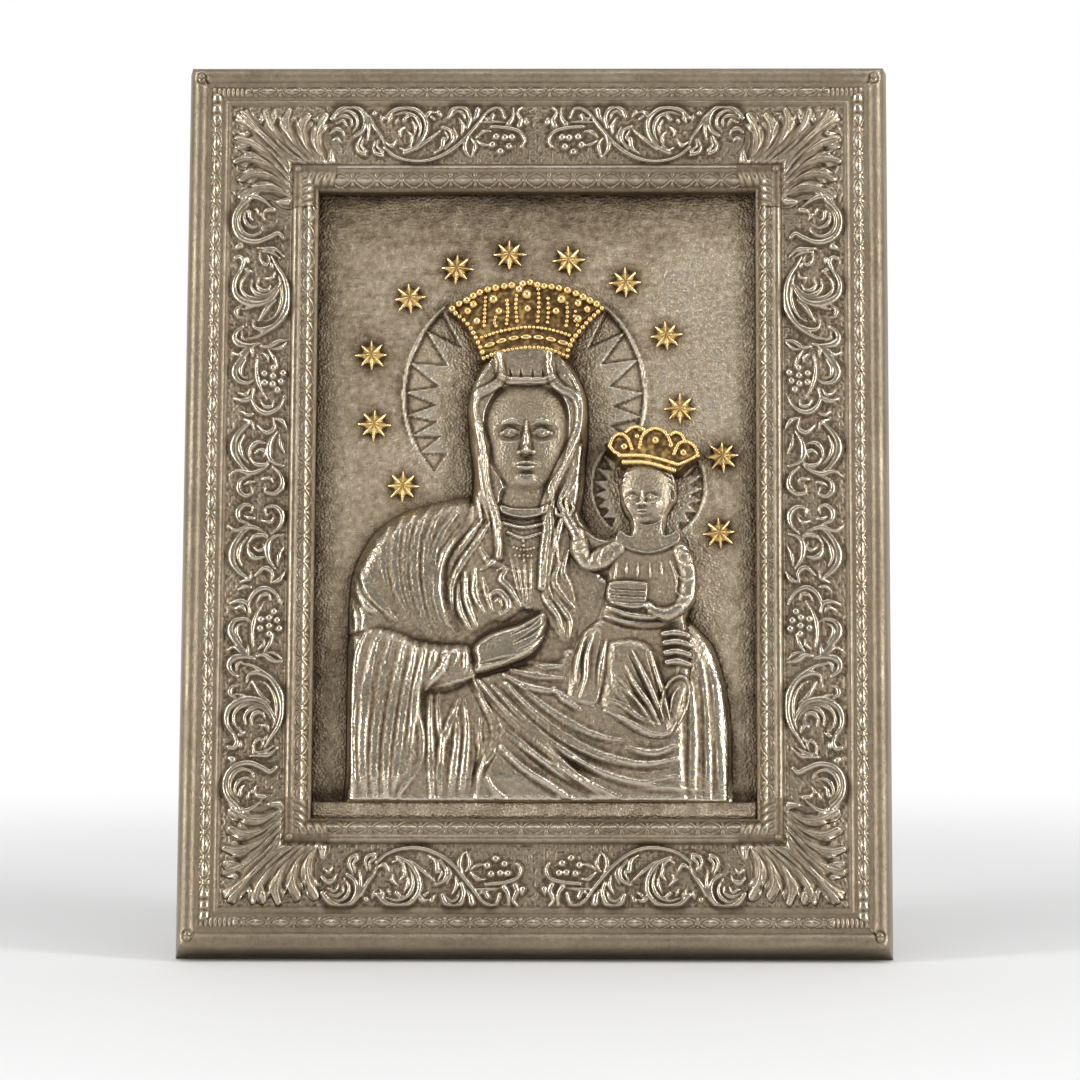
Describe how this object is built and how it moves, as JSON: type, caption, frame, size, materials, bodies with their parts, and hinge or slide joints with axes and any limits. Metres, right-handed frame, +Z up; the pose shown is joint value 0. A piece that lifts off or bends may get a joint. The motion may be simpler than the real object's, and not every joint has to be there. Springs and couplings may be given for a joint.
{
  "type": "framed devotional icon",
  "caption": "Framed devotional icon in pressed silver sheet over wood, with a raised crowned mother and child, an easel strut and a hanging ring.",
  "frame": {"origin": "under the middle of the standing icon's box, on the surface it stands on", "axes": "+Z up, front faces -Y and leans back 14 degrees towards +Y, +X to the viewer's right"},
  "size_m": [0.23, 0.1062, 0.2877],
  "materials": {
    "silver": "antique silver, satin, dark in the recesses",
    "gilt": "gilt, satin",
    "core_wood": "planed softwood",
    "board_wood": "planed softwood",
    "back_wood": "stained and waxed",
    "filling": "matt",
    "brass": "dulled"
  },
  "bodies": {
    "root": {"top_rail_core": "core_wood", "bottom_rail_core": "core_wood", "left_stile_core": "core_wood", "right_stile_core": "core_wood", "top_sheet": "silver", "bottom_sheet": "silver", "left_sheet": "silver", "right_sheet": "silver", "corner_plate_top_left": "silver", "corner_plate_top_right": "silver", "corner_plate_bottom_left": "silver", "corner_plate_bottom_right": "silver", "outer_corner_pins": "silver", "inner_corner_pins": "silver", "relief_plate": "silver", "relief_board": "board_wood", "mother_figure": "silver", "mother_filling": "filling", "child_figure": "silver", "child_filling": "filling", "mother_crown": "gilt", "child_crown": "gilt", "stars": "gilt", "back_board": "back_wood", "back_board_nails": "brass", "ring_plate": "brass", "ring_plate_screws": "brass", "hinge_fixed_leaf": "brass", "hinge_pin": "brass", "fixed_leaf_screws": "brass"},
    "strut": {"strut": "back_wood", "hinge_moving_leaf": "brass", "moving_leaf_screws": "brass"},
    "ring": {"hanging_ring": "brass"}
  },
  "joints": [
    {"name": "strut_fold", "type": "hinge", "parent": "root", "child": "strut", "pos_m": [0, 0.00996, 0.17626], "axis": [1, 0, 0], "range_deg": [-25.5, 0]},
    {"name": "ring_swing", "type": "hinge", "parent": "root", "child": "ring", "pos_m": [0, 0.02946, 0.25488], "axis": [1, 0, 0], "range_deg": [-14, 140]}
  ]
}
